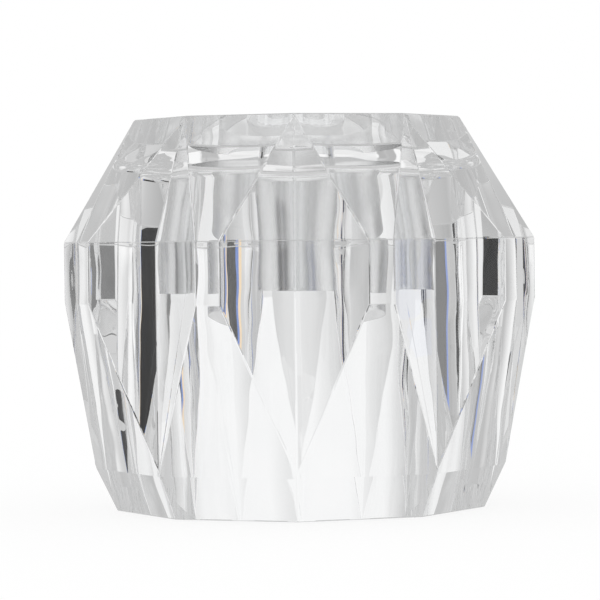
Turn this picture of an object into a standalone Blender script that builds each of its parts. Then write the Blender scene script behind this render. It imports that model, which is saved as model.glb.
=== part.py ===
"""Clear faceted tap knob with a splined stem bush, standing on its wall side. Metres, +Z up, axis on Z."""

import math

import bmesh
import bpy

MM = 0.001

# Faceted body, in millimetres and degrees
FLUTE_COUNT = 9
HEIGHT = 56.7
GIRDLE_HEIGHT = 39.0
BAND_HEIGHT = 8.8
CHAMFER_HEIGHT = 6.2
GIRDLE_APOTHEM = 34.95
VALLEY_RADIUS = 30.2
FLUTE_FACE_ANGLE = 17.8
RIM_CORNER_RADIUS = 23.8
FOOT_CORNER_RADIUS = 27.05
FLUTE_RUNOUT = 0.15

# Button recess in the top
RIM_WALL = 1.55
RECESS_DEPTH = 5.9
RECESS_FILLET = 0.5

# Hollow skirt and the boss that hangs in it
WEB_THICKNESS = 2.9
FOOT_WALL = 1.5
SKIRT_DRAFT = 1.2
CEILING_FILLET = 1.5
BOSS_LENGTH = 16.1
BOSS_WALL = 6.3
SCREW_HOLE_RADIUS = 2.6

# Splined bush
SPLINE_TEETH = 20
SPLINE_RADIUS = 5.0
SPLINE_DEPTH = 0.45
BUSH_WALL = 1.6
BUSH_LENGTH = 13.5
BUSH_CLEARANCE = 0.3

# Mesh fineness and how far a cutter reaches past what it cuts
FINE_STEPS = 72
SMALL_STEPS = 40
FILLET_STEPS = 4
REACH = 3.0
MERGE = 0.00001

# Sizes that follow from the ones above
FLUTE_STEP = 2 * math.pi / FLUTE_COUNT
CORNER = 1 / math.cos(FLUTE_STEP / 2)
FRONT_TURN = -math.pi / 2
BLANK_CORNER_RADIUS = GIRDLE_APOTHEM * CORNER
BAND_END_HEIGHT = GIRDLE_HEIGHT - BAND_HEIGHT
FLOOR_HEIGHT = HEIGHT - RECESS_DEPTH
CEILING_HEIGHT = FLOOR_HEIGHT - WEB_THICKNESS
BOSS_END_HEIGHT = CEILING_HEIGHT - BOSS_LENGTH
RECESS_RADIUS = RIM_CORNER_RADIUS / CORNER - RIM_WALL
SKIRT_FOOT_RADIUS = FOOT_CORNER_RADIUS / CORNER - FOOT_WALL
BUSH_RADIUS = SPLINE_RADIUS + BUSH_WALL
SOCKET_RADIUS = BUSH_RADIUS + BUSH_CLEARANCE
SOCKET_TOP_HEIGHT = BOSS_END_HEIGHT + BUSH_LENGTH + BUSH_CLEARANCE
BOSS_RADIUS = SOCKET_RADIUS + BOSS_WALL


def clear_scene():
    for obj in list(bpy.data.objects):
        bpy.data.objects.remove(obj)


def new_collection(name):
    group = bpy.data.collections.new(name)
    bpy.context.scene.collection.children.link(group)
    return group


def new_object(name, mesh, group):
    obj = bpy.data.objects.new(name, mesh)
    group.objects.link(obj)
    return obj


def new_material(name, colour, roughness, transmission):
    material = bpy.data.materials.new(name)
    material.use_nodes = True
    shader = material.node_tree.nodes["Principled BSDF"]
    shader.inputs["Base Color"].default_value = (*colour, 1.0)
    shader.inputs["Roughness"].default_value = roughness
    shader.inputs["Metallic"].default_value = 0.0
    shader.inputs["Transmission Weight"].default_value = transmission
    shader.inputs["IOR"].default_value = 1.49
    return material


def turned(name, profile, steps, group):
    """A profile of (radius, height) points, listed down its outer side, turned about Z."""
    mesh = bpy.data.meshes.new(name)
    points = [(radius * MM, 0.0, height * MM) for radius, height in profile]
    edges = [(i, i + 1) for i in range(len(points) - 1)]
    mesh.from_pydata(points, edges, [])
    obj = new_object(name, mesh, group)
    screw = obj.modifiers.new("turn", "SCREW")
    screw.steps = steps
    screw.render_steps = steps
    screw.use_merge_vertices = True
    screw.merge_threshold = MERGE
    screw.use_smooth_shade = False
    return obj


def prism(name, outline, sweeps, group):
    """A flat outline of (x, y, height) points, extruded by each (x, height) step in turn."""
    mesh = bpy.data.meshes.new(name)
    shape = bmesh.new()
    corners = [shape.verts.new((x * MM, y * MM, height * MM)) for x, y, height in outline]
    top = shape.faces.new(corners)
    for along_x, along_z in sweeps:
        grown = bmesh.ops.extrude_face_region(shape, geom=[top])["geom"]
        moved = [item for item in grown if isinstance(item, bmesh.types.BMVert)]
        bmesh.ops.translate(shape, verts=moved, vec=(along_x * MM, 0.0, along_z * MM))
        if len(shape.faces) > len(outline) + 2:
            bmesh.ops.delete(shape, geom=[top], context="FACES_ONLY")
        top = next(item for item in grown if isinstance(item, bmesh.types.BMFace))
    bmesh.ops.recalc_face_normals(shape, faces=shape.faces)
    shape.to_mesh(mesh)
    shape.free()
    return new_object(name, mesh, group)


def arc(centre_radius, centre_height, fillet, start, end):
    """Points of a quarter-round in a turned profile, from one angle to another in degrees."""
    points = []
    for i in range(FILLET_STEPS + 1):
        angle = math.radians(start + (end - start) * i / FILLET_STEPS)
        points.append((centre_radius + fillet * math.cos(angle), centre_height + fillet * math.sin(angle)))
    return points


def cut(obj, cutter):
    cutter.hide_render = True
    cutter.display_type = "WIRE"
    boolean = obj.modifiers.new("cut_" + cutter.name, "BOOLEAN")
    boolean.operation = "DIFFERENCE"
    boolean.solver = "EXACT"
    boolean.object = cutter


def blank(group):
    """The nine-sided blank, with its corners where the flutes come."""
    profile = [
        (0.0, HEIGHT),
        (RIM_CORNER_RADIUS, HEIGHT),
        (BLANK_CORNER_RADIUS, GIRDLE_HEIGHT),
        (BLANK_CORNER_RADIUS, BAND_END_HEIGHT),
        (VALLEY_RADIUS - FLUTE_RUNOUT, CHAMFER_HEIGHT),
        (FOOT_CORNER_RADIUS, 0.0),
        (0.0, 0.0),
    ]
    return turned("knob_body", profile, FLUTE_COUNT, group)


def flute_cutter(index, group):
    """A V that runs straight up to the girdle, then leans in with the crown to its corner at the rim."""
    crown_height = HEIGHT - GIRDLE_HEIGHT
    lean = (RIM_CORNER_RADIUS + FLUTE_RUNOUT - VALLEY_RADIUS) / crown_height
    depth = BLANK_CORNER_RADIUS + REACH - VALLEY_RADIUS
    half_width = depth / math.tan(math.radians(FLUTE_FACE_ANGLE))
    outline = [
        (VALLEY_RADIUS, 0.0, -REACH),
        (VALLEY_RADIUS + depth, -half_width, -REACH),
        (VALLEY_RADIUS + depth, half_width, -REACH),
    ]
    crown_reach = crown_height + REACH
    sweeps = [(0.0, GIRDLE_HEIGHT + REACH), (lean * crown_reach, crown_reach)]
    cutter = prism(f"flute_{index + 1}", outline, sweeps, group)
    cutter.rotation_euler.z = FRONT_TURN + index * FLUTE_STEP
    return cutter


def recess_cutter(group):
    inner = RECESS_RADIUS - RECESS_FILLET
    profile = [(0.0, HEIGHT + REACH), (RECESS_RADIUS, HEIGHT + REACH)]
    profile += arc(inner, FLOOR_HEIGHT + RECESS_FILLET, RECESS_FILLET, 0, -90)
    profile.append((0.0, FLOOR_HEIGHT))
    return turned("button_recess", profile, FINE_STEPS, group)


def skirt_cutter(group):
    """The hollow under the web, open at the foot, with the boss left standing in it."""
    draft = math.tan(math.radians(SKIRT_DRAFT))
    top_radius = SKIRT_FOOT_RADIUS - draft * CEILING_HEIGHT
    profile = [
        (0.0, BOSS_END_HEIGHT),
        (BOSS_RADIUS, BOSS_END_HEIGHT),
        (BOSS_RADIUS, CEILING_HEIGHT),
    ]
    profile += arc(top_radius - CEILING_FILLET, CEILING_HEIGHT - CEILING_FILLET, CEILING_FILLET, 90, 0)
    profile += [(SKIRT_FOOT_RADIUS + draft * REACH, -REACH), (0.0, -REACH)]
    return turned("skirt_hollow", profile, FINE_STEPS, group)


def socket_cutter(group):
    """The bore for the bush, with the screw's hole above it, up into the recess."""
    profile = [
        (0.0, FLOOR_HEIGHT + REACH),
        (SCREW_HOLE_RADIUS, FLOOR_HEIGHT + REACH),
        (SCREW_HOLE_RADIUS, SOCKET_TOP_HEIGHT),
        (SOCKET_RADIUS, SOCKET_TOP_HEIGHT),
        (SOCKET_RADIUS, BOSS_END_HEIGHT - REACH),
        (0.0, BOSS_END_HEIGHT - REACH),
    ]
    return turned("bush_socket", profile, SMALL_STEPS, group)


def knob_body(parts, cutters, acrylic):
    body = blank(parts)
    body.rotation_euler.z = FRONT_TURN
    for index in range(FLUTE_COUNT):
        cut(body, flute_cutter(index, cutters))
    for make_cutter in (recess_cutter, skirt_cutter, socket_cutter):
        cut(body, make_cutter(cutters))
    body.data.materials.append(acrylic)
    return body


def spline_cutter(group):
    """A toothed bar for the stem's splines, right through the bush."""
    outline = []
    for i in range(2 * SPLINE_TEETH):
        radius = SPLINE_RADIUS - SPLINE_DEPTH * (i % 2)
        angle = math.pi * i / SPLINE_TEETH
        outline.append((radius * math.cos(angle), radius * math.sin(angle), -REACH))
    cutter = prism("stem_spline", outline, [(0.0, BUSH_LENGTH + 2 * REACH)], group)
    cutter.location.z = BOSS_END_HEIGHT * MM
    return cutter


def stem_bush(parts, cutters, acrylic):
    profile = [(0.0, BUSH_LENGTH), (BUSH_RADIUS, BUSH_LENGTH), (BUSH_RADIUS, 0.0), (0.0, 0.0)]
    bush = turned("stem_bush", profile, SMALL_STEPS, parts)
    bush.location.z = BOSS_END_HEIGHT * MM
    cut(bush, spline_cutter(cutters))
    bush.data.materials.append(acrylic)
    return bush


def main():
    clear_scene()
    parts = new_collection("tap_knob")
    cutters = new_collection("tap_knob_cutters")
    acrylic = new_material("clear_acrylic", (0.97, 0.98, 0.98), 0.02, 1.0)
    knob_body(parts, cutters, acrylic)
    stem_bush(parts, cutters, acrylic)


main()
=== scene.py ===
"""Looks of the clear faceted tap knob: finer clear body and bush, pale floor, studio walls, cards and
flags glowing with painted light and shade that only the glass sees, and camera.
"""

import math

import bmesh
import bpy
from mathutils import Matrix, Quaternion, Vector


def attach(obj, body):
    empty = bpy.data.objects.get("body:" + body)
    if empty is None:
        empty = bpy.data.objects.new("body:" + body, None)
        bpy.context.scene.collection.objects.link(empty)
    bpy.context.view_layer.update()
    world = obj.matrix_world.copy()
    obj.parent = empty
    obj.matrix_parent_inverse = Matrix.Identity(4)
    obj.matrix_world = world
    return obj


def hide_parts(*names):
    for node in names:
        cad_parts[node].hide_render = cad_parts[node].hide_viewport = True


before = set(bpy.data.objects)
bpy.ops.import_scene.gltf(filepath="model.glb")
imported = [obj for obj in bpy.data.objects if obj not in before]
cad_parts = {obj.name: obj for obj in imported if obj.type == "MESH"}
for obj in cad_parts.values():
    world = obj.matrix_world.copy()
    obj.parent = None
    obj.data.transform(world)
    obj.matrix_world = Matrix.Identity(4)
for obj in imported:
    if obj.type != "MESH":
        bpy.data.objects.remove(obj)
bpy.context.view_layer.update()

MM = 0.001
WHITE = (1.0, 1.0, 1.0, 1.0)

# Faceted body, in millimetres and degrees
FLUTE_COUNT = 9
HEIGHT = 56.7
GIRDLE_HEIGHT = 39.0
BAND_END_HEIGHT = 30.2
CHAMFER_HEIGHT = 6.2
GIRDLE_APOTHEM = 34.95
VALLEY_RADIUS = 30.2
FLUTE_FACE_ANGLE = 17.8
RIM_CORNER_RADIUS = 23.8
FOOT_CORNER_RADIUS = 27.05
FLUTE_RUNOUT = 0.15
FLUTE_STEP = 2 * math.pi / FLUTE_COUNT
CORNER = 1 / math.cos(FLUTE_STEP / 2)
BLANK_CORNER_RADIUS = GIRDLE_APOTHEM * CORNER
FRONT_TURN = -math.pi / 2

# Recess, hollow skirt and boss
RIM_WALL = 1.55
RECESS_RADIUS = RIM_CORNER_RADIUS / CORNER - RIM_WALL
FLOOR_HEIGHT = 50.8
RECESS_FILLET = 0.5
CEILING_HEIGHT = 47.9
FOOT_WALL = 1.5
SKIRT_FOOT_RADIUS = FOOT_CORNER_RADIUS / CORNER - FOOT_WALL
SKIRT_DRAFT = 1.2
SKIRT_SLOPE = math.tan(math.radians(SKIRT_DRAFT))
CEILING_FILLET = 1.5
BOSS_RADIUS = 13.2
BOSS_END_HEIGHT = 31.8
SCREW_HOLE_RADIUS = 2.6
SOCKET_RADIUS = 6.9
SOCKET_TOP_HEIGHT = 45.6

# Bush
BUSH_RADIUS = 6.6
BUSH_LENGTH = 13.5
BUSH_CHAMFER = 0.4
SPLINE_TEETH = 20
SPLINE_RADIUS = 5.0
SPLINE_DEPTH = 0.45

# Edge softness and the mould's parting line
EDGE_SOFTNESS = 0.18
EDGE_STEPS = 3
BUSH_SOFTNESS = 0.05
RIM_CHAMFER = 0.20
PARTING_DEPTH = 0.08
PARTING_HALF_WIDTH = 0.11
BEVEL_ABOVE = math.radians(14)
SHARP_ABOVE = math.radians(4)

# Mesh fineness and how far a cutter reaches past what it cuts
FINE_STEPS = 300
SMALL_STEPS = 180
FILLET_STEPS = 26
WALL_STEPS = 96
FLAG_STEPS = 24
REACH = 3.0
MERGE = 0.00001

# Camera, in metres, with its lens and sensor in millimetres
CAMERA_PLACE = (0.0084, -0.4794, 0.0400)
CAMERA_AIM = (0.00015, 0.0, 0.0302)
CAMERA_ROLL = math.radians(-0.7)
CAMERA_LENS = 196.6
CAMERA_SENSOR = 36.0

# Studio, in metres, whose walls and cards glow with painted light and shade that only the glass sees, and
# how often light may pass or mirror in the knob
SURROUND_RADIUS = 0.9
SURROUND_HEIGHT = 1.0
OVERHEAD_LIGHT = 0.62
TABLE_LEVEL = -0.00005
FLOOR_LEVEL = -0.0001
FLOOR_HALF_WIDTH = 3.0
FLOOR_GLOW = 0.88
GLASS_BOUNCES = 40
MIRROR_BOUNCES = 32

# Painted light and shade round the knob, as greys on the walls and table that only the glass sees, by
# degrees from straight behind it
LOW_WALL = [
    (-180, 0.78), (-125, 0.72), (-62, 0.48), (-34, 0.70), (-14, 0.86),
    (14, 0.88), (34, 0.68), (60, 0.48), (125, 0.72), (180, 0.78),
]
WINDOW = [
    (-180, 0.80), (-125, 0.74), (-62, 0.60), (-42, 0.72), (-24, 0.99),
    (6, 0.99), (24, 0.74), (38, 0.52), (125, 0.70), (180, 0.80),
]
UPPER_WALL = [(-180, 0.74), (-30, 0.54), (30, 0.54), (180, 0.74)]
# The knob's painted shadow on the table, close round its foot, seen only in the glass
KNOB_PAINTED_SHADOW = [(-180, 0.62), (-110, 0.46), (0, 0.56), (110, 0.46), (180, 0.62)]
NEAR_TABLE = [
    (-180, 0.74), (-125, 0.64), (-88, 0.44), (-60, 0.58), (-28, 0.86),
    (14, 0.94), (28, 0.80), (60, 0.50), (125, 0.64), (180, 0.74),
]
FAR_TABLE = [
    (-180, 0.76), (-125, 0.66), (-62, 0.42), (-32, 0.80),
    (28, 0.84), (60, 0.44), (125, 0.66), (180, 0.76),
]

# Where one grey eases into the next: heights up the wall, and distances out over the table, in metres
WINDOW_FOOT = (0.03, 0.07)
WINDOW_HEAD = (0.34, 0.50)
# How far out the knob's painted shadow on the table reaches before it eases into the nearer greys
SHADE_END = (0.08, 0.14)
TABLE_FADE = (0.16, 0.32)

# Dark flags beside the knob, glowing sheets that only the glass sees as painted shade, some with narrow
# tinted edges as painted colour fringes: where each starts and ends, in degrees from straight behind the
# knob, its distance and height in metres, and its colour
FLAGS = [
    (-103, -92, 0.302, 0.060, (0.02, 0.02, 0.02)),
    (-81, -50, 0.302, 0.075, (0.02, 0.02, 0.02)),
    (-50, -47, 0.302, 0.075, (0.16, 0.26, 0.62)),
    (-47, -44, 0.302, 0.075, (0.95, 0.74, 0.50)),
    (64, 67, 0.85, 0.24, (0.30, 0.38, 0.70)),
    (67, 112, 0.85, 0.24, (0.22, 0.22, 0.22)),
]

# The acrylic: tints from dark to light and where in the noise they lie, gloss, and surface ripple
ACRYLIC_IOR = 1.49
ACRYLIC_TINTS = ((0.982, 0.986, 0.988), (0.998, 0.999, 1.0))
TINT_LIMITS = (0.35, 0.65)
ACRYLIC_ROUGHNESS = (0.0, 0.01)
ACRYLIC_RIPPLE = 1.0
RIPPLE_HEIGHT = 0.0002
RIPPLE_SCALE = 120
RIPPLE_DETAIL = 0.5

# The satin outer wall of the boss: its roughness, and the margin round it in millimetres
BOSS_ROUGHNESS = 0.25
BOSS_MARGIN = 0.2


def new_object(name, mesh):
    obj = bpy.data.objects.new(name, mesh)
    bpy.context.scene.collection.objects.link(obj)
    return obj


def turned(name, profile, steps):
    """A profile of (radius, height) points, listed down its outer side, turned about Z."""
    mesh = bpy.data.meshes.new(name)
    points = [(radius * MM, 0.0, height * MM) for radius, height in profile]
    mesh.from_pydata(points, [(i, i + 1) for i in range(len(points) - 1)], [])
    obj = new_object(name, mesh)
    screw = obj.modifiers.new("turn", "SCREW")
    screw.steps = steps
    screw.render_steps = steps
    screw.use_merge_vertices = True
    screw.merge_threshold = MERGE
    screw.use_smooth_shade = False
    return obj


def prism(name, outline, sweeps):
    """A flat outline of (x, y, height) points, extruded by each (x, height) step in turn."""
    mesh = bpy.data.meshes.new(name)
    shape = bmesh.new()
    top = shape.faces.new([shape.verts.new((x * MM, y * MM, z * MM)) for x, y, z in outline])
    for along_x, along_z in sweeps:
        grown = bmesh.ops.extrude_face_region(shape, geom=[top])["geom"]
        moved = [item for item in grown if isinstance(item, bmesh.types.BMVert)]
        bmesh.ops.translate(shape, verts=moved, vec=(along_x * MM, 0.0, along_z * MM))
        if len(shape.faces) > len(outline) + 2:
            bmesh.ops.delete(shape, geom=[top], context="FACES_ONLY")
        top = next(item for item in grown if isinstance(item, bmesh.types.BMFace))
    bmesh.ops.recalc_face_normals(shape, faces=shape.faces)
    shape.to_mesh(mesh)
    shape.free()
    return new_object(name, mesh)


def arc(centre_radius, centre_height, fillet, start, end):
    """Points of a quarter-round in a turned profile, from one angle to another in degrees."""
    points = []
    for i in range(FILLET_STEPS + 1):
        angle = math.radians(start + (end - start) * i / FILLET_STEPS)
        points.append((centre_radius + fillet * math.cos(angle), centre_height + fillet * math.sin(angle)))
    return points


def evaluated_mesh(obj):
    graph = bpy.context.evaluated_depsgraph_get()
    return bpy.data.meshes.new_from_object(obj.evaluated_get(graph))


def close_slivers(mesh):
    """Fill what the softening can leave open where a flute runs out, with all faces pointing out."""
    shape = bmesh.new()
    shape.from_mesh(mesh)
    bmesh.ops.holes_fill(shape, edges=[edge for edge in shape.edges if edge.is_boundary], sides=0)
    bmesh.ops.recalc_face_normals(shape, faces=shape.faces)
    if shape.calc_volume(signed=True) < 0:
        bmesh.ops.reverse_faces(shape, faces=shape.faces)
    shape.to_mesh(mesh)
    shape.free()


def cut(obj, cutters):
    for cutter in cutters:
        boolean = obj.modifiers.new(cutter.name, "BOOLEAN")
        boolean.operation = "DIFFERENCE"
        boolean.solver = "EXACT"
        boolean.object = cutter


def settled(name, obj, cutters):
    """The object as its modifiers leave it, closed and in the part's frame, with its cutters gone."""
    bpy.context.view_layer.update()
    mesh = evaluated_mesh(obj)
    close_slivers(mesh)
    mesh.transform(obj.matrix_world)
    mesh.name = name
    for used in [obj, *cutters]:
        bpy.data.objects.remove(used)
    return new_object(name, mesh)


def softened(name, obj, cutters, softness, trims=()):
    """The object less its cutters, with its edges softened and then trimmed."""
    cut(obj, cutters)
    bevel = obj.modifiers.new("soft_edges", "BEVEL")
    bevel.width = softness * MM
    bevel.segments = EDGE_STEPS
    bevel.limit_method = "ANGLE"
    bevel.angle_limit = BEVEL_ABOVE
    bevel.use_clamp_overlap = False
    cut(obj, trims)
    return settled(name, obj, [*cutters, *trims])


def mark_parting_line(obj):
    """Press a fine V into the outside at the girdle, where the mould parts."""
    shape = bmesh.new()
    shape.from_mesh(obj.data)
    for height in (GIRDLE_HEIGHT - PARTING_HALF_WIDTH, GIRDLE_HEIGHT + PARTING_HALF_WIDTH, GIRDLE_HEIGHT):
        everything = [*shape.verts, *shape.edges, *shape.faces]
        place = (0, 0, height * MM)
        sliced = bmesh.ops.bisect_plane(shape, geom=everything, plane_co=place, plane_no=(0, 0, 1))
    shape.normal_update()
    for item in sliced["geom_cut"]:
        if isinstance(item, bmesh.types.BMVert):
            outward = Vector((item.normal.x, item.normal.y, 0.0)).normalized()
            item.co -= outward * PARTING_DEPTH * MM
    shape.to_mesh(obj.data)
    shape.free()


def shaded(obj):
    obj.data.shade_smooth()
    obj.data.set_sharp_from_angle(angle=SHARP_ABOVE)
    return obj


def nine_sided_blank():
    """The blank, with its corners where the flutes come."""
    profile = [
        (0.0, HEIGHT),
        (RIM_CORNER_RADIUS, HEIGHT),
        (BLANK_CORNER_RADIUS, GIRDLE_HEIGHT),
        (BLANK_CORNER_RADIUS, BAND_END_HEIGHT),
        (VALLEY_RADIUS - FLUTE_RUNOUT, CHAMFER_HEIGHT),
        (FOOT_CORNER_RADIUS, 0.0),
        (0.0, 0.0),
    ]
    blank = turned("blank", profile, FLUTE_COUNT)
    blank.rotation_euler.z = FRONT_TURN
    return blank


def flute_cutter(index):
    """A V that runs straight up to the girdle, then leans in with the crown to its corner at the rim."""
    crown_height = HEIGHT - GIRDLE_HEIGHT
    lean = (RIM_CORNER_RADIUS + FLUTE_RUNOUT - VALLEY_RADIUS) / crown_height
    depth = BLANK_CORNER_RADIUS + REACH - VALLEY_RADIUS
    half_width = depth / math.tan(math.radians(FLUTE_FACE_ANGLE))
    outline = [
        (VALLEY_RADIUS, 0.0, -REACH),
        (VALLEY_RADIUS + depth, -half_width, -REACH),
        (VALLEY_RADIUS + depth, half_width, -REACH),
    ]
    crown_reach = crown_height + REACH
    sweeps = [(0.0, GIRDLE_HEIGHT + REACH), (lean * crown_reach, crown_reach)]
    cutter = prism(f"flute_{index}", outline, sweeps)
    cutter.rotation_euler.z = FRONT_TURN + index * FLUTE_STEP
    return cutter


def above_rim_cutter():
    """What trims the softened edges level with the rim."""
    wide = 2 * BLANK_CORNER_RADIUS
    top = HEIGHT + 2 * REACH
    return turned("above_rim", [(0.0, top), (wide, top), (wide, HEIGHT), (0.0, HEIGHT)], FLUTE_COUNT)


def recess_cutter():
    profile = [(0.0, HEIGHT + REACH), (RECESS_RADIUS + RIM_CHAMFER + REACH, HEIGHT + REACH)]
    profile.append((RECESS_RADIUS, HEIGHT - RIM_CHAMFER))
    profile += arc(RECESS_RADIUS - RECESS_FILLET, FLOOR_HEIGHT + RECESS_FILLET, RECESS_FILLET, 0, -90)
    profile.append((0.0, FLOOR_HEIGHT))
    return turned("recess", profile, FINE_STEPS)


def hollow_cutter():
    """The hollow under the web, open at the foot, with the boss left standing in it."""
    ceiling_radius = SKIRT_FOOT_RADIUS - SKIRT_SLOPE * CEILING_HEIGHT
    profile = [(0.0, BOSS_END_HEIGHT), (BOSS_RADIUS, BOSS_END_HEIGHT), (BOSS_RADIUS, CEILING_HEIGHT)]
    profile += arc(ceiling_radius - CEILING_FILLET, CEILING_HEIGHT - CEILING_FILLET, CEILING_FILLET, 90, 0)
    profile += [(SKIRT_FOOT_RADIUS + SKIRT_SLOPE * REACH, -REACH), (0.0, -REACH)]
    return turned("hollow", profile, FINE_STEPS)


def socket_cutter():
    """The bore for the bush, with the screw's hole above it, up into the recess."""
    profile = [
        (0.0, FLOOR_HEIGHT + REACH),
        (SCREW_HOLE_RADIUS, FLOOR_HEIGHT + REACH),
        (SCREW_HOLE_RADIUS, SOCKET_TOP_HEIGHT),
        (SOCKET_RADIUS, SOCKET_TOP_HEIGHT),
        (SOCKET_RADIUS, BOSS_END_HEIGHT - REACH),
        (0.0, BOSS_END_HEIGHT - REACH),
    ]
    return turned("socket", profile, SMALL_STEPS)


def clear_body():
    flutes = [flute_cutter(index) for index in range(FLUTE_COUNT)]
    body = softened("body", nine_sided_blank(), flutes, EDGE_SOFTNESS, [above_rim_cutter()])
    mark_parting_line(body)
    holes = [recess_cutter(), hollow_cutter(), socket_cutter()]
    cut(body, holes)
    return shaded(settled("clear_body", body, holes))


def spline_cutter():
    """A toothed bar for the stem's splines, right through the bush."""
    outline = []
    for i in range(2 * SPLINE_TEETH):
        radius = SPLINE_RADIUS - SPLINE_DEPTH * (i % 2)
        angle = math.pi * i / SPLINE_TEETH
        outline.append((radius * math.cos(angle), radius * math.sin(angle), BOSS_END_HEIGHT - REACH))
    return prism("teeth", outline, [(0.0, BUSH_LENGTH + 2 * REACH)])


def clear_bush():
    top = BOSS_END_HEIGHT + BUSH_LENGTH
    rim = BUSH_RADIUS - BUSH_CHAMFER
    profile = [
        (0.0, top),
        (rim, top),
        (BUSH_RADIUS, top - BUSH_CHAMFER),
        (BUSH_RADIUS, BOSS_END_HEIGHT + BUSH_CHAMFER),
        (rim, BOSS_END_HEIGHT),
        (0.0, BOSS_END_HEIGHT),
    ]
    bush = turned("bush", profile, SMALL_STEPS)
    return shaded(softened("clear_bush", bush, [spline_cutter()], BUSH_SOFTNESS))


def add_node(tree, kind, **values):
    node = tree.nodes.new(kind)
    for name, value in values.items():
        node.inputs[name].default_value = value
    return node


def worked_out(tree, operation, first, second):
    """The outcome of a sum, whose second value may be a plain number."""
    node = tree.nodes.new("ShaderNodeMath")
    node.operation = operation
    tree.links.new(first, node.inputs[0])
    if isinstance(second, float):
        node.inputs[1].default_value = second
    else:
        tree.links.new(second, node.inputs[1])
    return node.outputs[0]


def map_range(tree, value, **limits):
    """A node that spreads a value from one pair of limits over another."""
    named = {name.replace("_", " ").title(): limit for name, limit in limits.items()}
    node = add_node(tree, "ShaderNodeMapRange", **named)
    tree.links.new(value, node.inputs["Value"])
    return node


def spot(tree):
    """Where a spot lies: its three coordinates in metres, with the knob at the middle."""
    place = tree.nodes.new("ShaderNodeTexCoord")
    parts = tree.nodes.new("ShaderNodeSeparateXYZ")
    tree.links.new(place.outputs["Object"], parts.inputs[0])
    return parts.outputs


def squared_radius(tree, parts):
    across = worked_out(tree, "MULTIPLY", parts["X"], parts["X"])
    along = worked_out(tree, "MULTIPLY", parts["Y"], parts["Y"])
    return worked_out(tree, "ADD", across, along)


def within(tree, value, low, high):
    """1 where a value lies between two limits, or else 0."""
    above = worked_out(tree, "GREATER_THAN", value, low)
    below = worked_out(tree, "LESS_THAN", value, high)
    return worked_out(tree, "MULTIPLY", above, below)


def boss_satin(tree):
    """The roughness of the boss's outer wall, taken as left unpolished by the mould, and 0 elsewhere."""
    parts = spot(tree)
    limits = [((BOSS_RADIUS + side * BOSS_MARGIN) * MM) ** 2 for side in (-1, 1)]
    on_radius = within(tree, squared_radius(tree, parts), *limits)
    on_length = within(tree, parts["Z"], (BOSS_END_HEIGHT - BOSS_MARGIN) * MM, CEILING_HEIGHT * MM)
    on_wall = worked_out(tree, "MULTIPLY", on_radius, on_length)
    return worked_out(tree, "MULTIPLY", on_wall, BOSS_ROUGHNESS)


def acrylic_tint(tree, noise):
    ramp = tree.nodes.new("ShaderNodeValToRGB")
    for stop, limit, tint in zip(ramp.color_ramp.elements, TINT_LIMITS, ACRYLIC_TINTS):
        stop.position = limit
        stop.color = (*tint, 1.0)
    tree.links.new(noise, ramp.inputs["Fac"])
    return ramp.outputs["Color"]


def clear_acrylic():
    """A clear moulded plastic whose tint, gloss and surface vary a little with a noise."""
    material = bpy.data.materials.new("clear_acrylic")
    material.use_nodes = True
    tree = material.node_tree
    shader = tree.nodes["Principled BSDF"]
    shader.inputs["Transmission Weight"].default_value = 1.0
    shader.inputs["IOR"].default_value = ACRYLIC_IOR
    place = tree.nodes.new("ShaderNodeTexCoord")
    noise_node = add_node(tree, "ShaderNodeTexNoise", Scale=RIPPLE_SCALE, Detail=RIPPLE_DETAIL)
    tree.links.new(place.outputs["Object"], noise_node.inputs["Vector"])
    noise = noise_node.outputs["Fac"]
    tree.links.new(acrylic_tint(tree, noise), shader.inputs["Base Color"])
    gloss = map_range(tree, noise, to_min=ACRYLIC_ROUGHNESS[0], to_max=ACRYLIC_ROUGHNESS[1])
    roughness = worked_out(tree, "ADD", gloss.outputs["Result"], boss_satin(tree))
    tree.links.new(roughness, shader.inputs["Roughness"])
    ripple = add_node(tree, "ShaderNodeBump", Strength=ACRYLIC_RIPPLE, Distance=RIPPLE_HEIGHT)
    tree.links.new(noise, ripple.inputs["Height"])
    tree.links.new(ripple.outputs["Normal"], shader.inputs["Normal"])
    return material


def seen_directly(tree):
    """1 for rays from the camera and for those that glass passes on or mirrors, or else 0."""
    path = tree.nodes.new("ShaderNodeLightPath")
    seen = worked_out(tree, "MAXIMUM", path.outputs["Is Camera Ray"], path.outputs["Is Glossy Ray"])
    return worked_out(tree, "MAXIMUM", seen, path.outputs["Is Transmission Ray"])


def floor_white():
    """A white that stays white to the eye and keeps a soft share of the shadow."""
    material = bpy.data.materials.new("floor")
    material.use_nodes = True
    tree = material.node_tree
    tree.nodes.remove(tree.nodes["Principled BSDF"])
    sheet = add_node(tree, "ShaderNodeBsdfDiffuse", Color=WHITE)
    glow = add_node(tree, "ShaderNodeEmission", Color=WHITE, Strength=1.0)
    mix = tree.nodes.new("ShaderNodeMixShader")
    tree.links.new(worked_out(tree, "MULTIPLY", seen_directly(tree), FLOOR_GLOW), mix.inputs["Fac"])
    tree.links.new(sheet.outputs[0], mix.inputs[1])
    tree.links.new(glow.outputs[0], mix.inputs[2])
    tree.links.new(mix.outputs[0], tree.nodes["Material Output"].inputs["Surface"])
    return material


def pale_floor():
    mesh = bpy.data.meshes.new("floor")
    shape = bmesh.new()
    bmesh.ops.create_grid(shape, x_segments=1, y_segments=1, size=FLOOR_HALF_WIDTH)
    shape.to_mesh(mesh)
    shape.free()
    floor = new_object("floor", mesh)
    floor.location.z = FLOOR_LEVEL
    mesh.materials.append(floor_white())
    return floor


def hide_from_all_but_glass(obj):
    obj.visible_camera = False
    obj.visible_diffuse = False
    obj.visible_shadow = False


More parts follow.
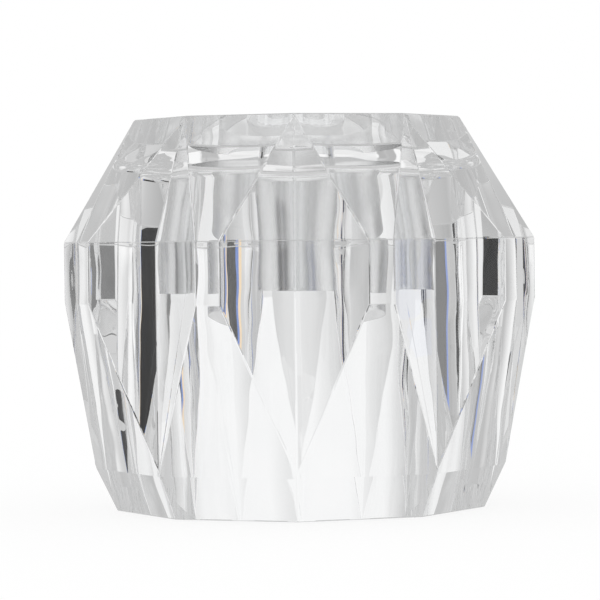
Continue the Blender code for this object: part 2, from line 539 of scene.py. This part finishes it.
def grey_by_side(tree, parts, greys):
    """A grey of painted light and shade by the way a spot lies from the knob."""
    way = worked_out(tree, "ARCTAN2", parts["X"], parts["Y"])
    share = map_range(tree, way, from_min=-math.pi, from_max=math.pi)
    ramp = tree.nodes.new("ShaderNodeValToRGB")
    stops = ramp.color_ramp.elements
    while len(stops) < len(greys):
        stops.new(0.5)
    for stop, (angle, grey) in zip(stops, greys):
        stop.position = (angle + 180) / 360
        stop.color = (grey, grey, grey, 1.0)
    tree.links.new(share.outputs["Result"], ramp.inputs["Fac"])
    return ramp.outputs["Color"]


def eased(tree, value, limits, first, second):
    """The first colour up to one limit of the value, and the second past the other."""
    step = map_range(tree, value, from_min=limits[0], from_max=limits[1])
    step.interpolation_type = "SMOOTHSTEP"
    mix = tree.nodes.new("ShaderNodeMixRGB")
    tree.links.new(step.outputs["Result"], mix.inputs["Fac"])
    tree.links.new(first, mix.inputs["Color1"])
    tree.links.new(second, mix.inputs["Color2"])
    return mix.outputs["Color"]


# Painted light and shade on the round wall, seen only in the glass: greys by side, eased up the wall
def wall_painted_light(tree):
    parts = spot(tree)
    low, window, upper = [grey_by_side(tree, parts, greys) for greys in (LOW_WALL, WINDOW, UPPER_WALL)]
    lower_part = eased(tree, parts["Z"], WINDOW_FOOT, low, window)
    return eased(tree, parts["Z"], WINDOW_HEAD, lower_part, upper)


# Painted light and shade on the table card, seen only in the glass, with the knob's painted shadow close
# round its foot
def table_painted_light_and_shadow(tree):
    parts = spot(tree)
    squared = squared_radius(tree, parts)
    zones = (KNOB_PAINTED_SHADOW, NEAR_TABLE, FAR_TABLE)
    knob_shadow_grey, near, far = [grey_by_side(tree, parts, greys) for greys in zones]
    shadowed_part = eased(tree, squared, [distance ** 2 for distance in SHADE_END], knob_shadow_grey, near)
    return eased(tree, squared, [distance ** 2 for distance in TABLE_FADE], shadowed_part, far)


def glowing(name, colour=WHITE[:3], colour_of=None):
    """A plain glow in one colour, or in the colour that a function works out for each spot."""
    material = bpy.data.materials.new(name)
    material.use_nodes = True
    tree = material.node_tree
    glow = add_node(tree, "ShaderNodeEmission", Color=(*colour, 1.0), Strength=1.0)
    if colour_of:
        tree.links.new(colour_of(tree), glow.inputs["Color"])
    tree.links.new(glow.outputs[0], tree.nodes["Material Output"].inputs["Surface"])
    return material


# A glowing sheet that only the glass sees: painted shade, or a painted colour fringe where it is tinted
def painted_flag(index, start, end, away, top, colour):
    flag = turned(f"flag_{index}", [(away / MM, top / MM), (away / MM, 0.0)], FLAG_STEPS)
    flag.modifiers["turn"].angle = math.radians(end - start)
    flag.rotation_euler.z = math.radians(90 - end)
    flag.data.materials.append(glowing(flag.name, colour))
    return flag


def studio_walls():
    """Round walls, cards overhead and on the table, and dark flags at the sides: glowing painted light and
    shade, with the knob's painted shadow, that only the glass sees.
    """
    radius = SURROUND_RADIUS / MM
    height = SURROUND_HEIGHT / MM
    level = TABLE_LEVEL / MM
    wall = turned("wall", [(radius, height), (radius, 0.0)], WALL_STEPS)
    wall.data.materials.append(glowing("wall", colour_of=wall_painted_light))
    overhead = turned("overhead", [(0.0, height), (radius, height)], WALL_STEPS)
    overhead.data.materials.append(glowing("overhead", 3 * (OVERHEAD_LIGHT,)))
    table = turned("table", [(0.0, level), (radius, level)], WALL_STEPS)
    table.data.materials.append(glowing("table", colour_of=table_painted_light_and_shadow))
    made = [wall, overhead, table]
    made += [painted_flag(index, *flag) for index, flag in enumerate(FLAGS)]
    for obj in made:
        hide_from_all_but_glass(obj)
    return made


def white_world():
    world = bpy.data.worlds.new("white")
    bpy.context.scene.world = world
    world.use_nodes = True
    background = world.node_tree.nodes["Background"]
    background.inputs["Color"].default_value = WHITE
    background.inputs["Strength"].default_value = 1.0


def photo_camera():
    data = bpy.data.cameras.new("camera")
    data.sensor_width = CAMERA_SENSOR
    data.lens = CAMERA_LENS
    camera = new_object("camera", data)
    camera.location = CAMERA_PLACE
    ahead = Vector(CAMERA_AIM) - Vector(CAMERA_PLACE)
    camera.rotation_mode = "QUATERNION"
    camera.rotation_quaternion = ahead.to_track_quat("-Z", "Y") @ Quaternion((0, 0, 1), CAMERA_ROLL)
    bpy.context.scene.camera = camera


def main():
    acrylic = clear_acrylic()
    for piece, node in ((clear_body(), "knob_body"), (clear_bush(), "stem_bush")):
        piece.data.materials.append(acrylic)
        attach(piece, "root")
        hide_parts(node)
    pale_floor()
    studio_walls()
    white_world()
    photo_camera()
    scene = bpy.context.scene
    scene.view_settings.view_transform = "Standard"
    scene.cycles.max_bounces = GLASS_BOUNCES
    scene.cycles.transmission_bounces = GLASS_BOUNCES
    scene.cycles.glossy_bounces = MIRROR_BOUNCES


main()
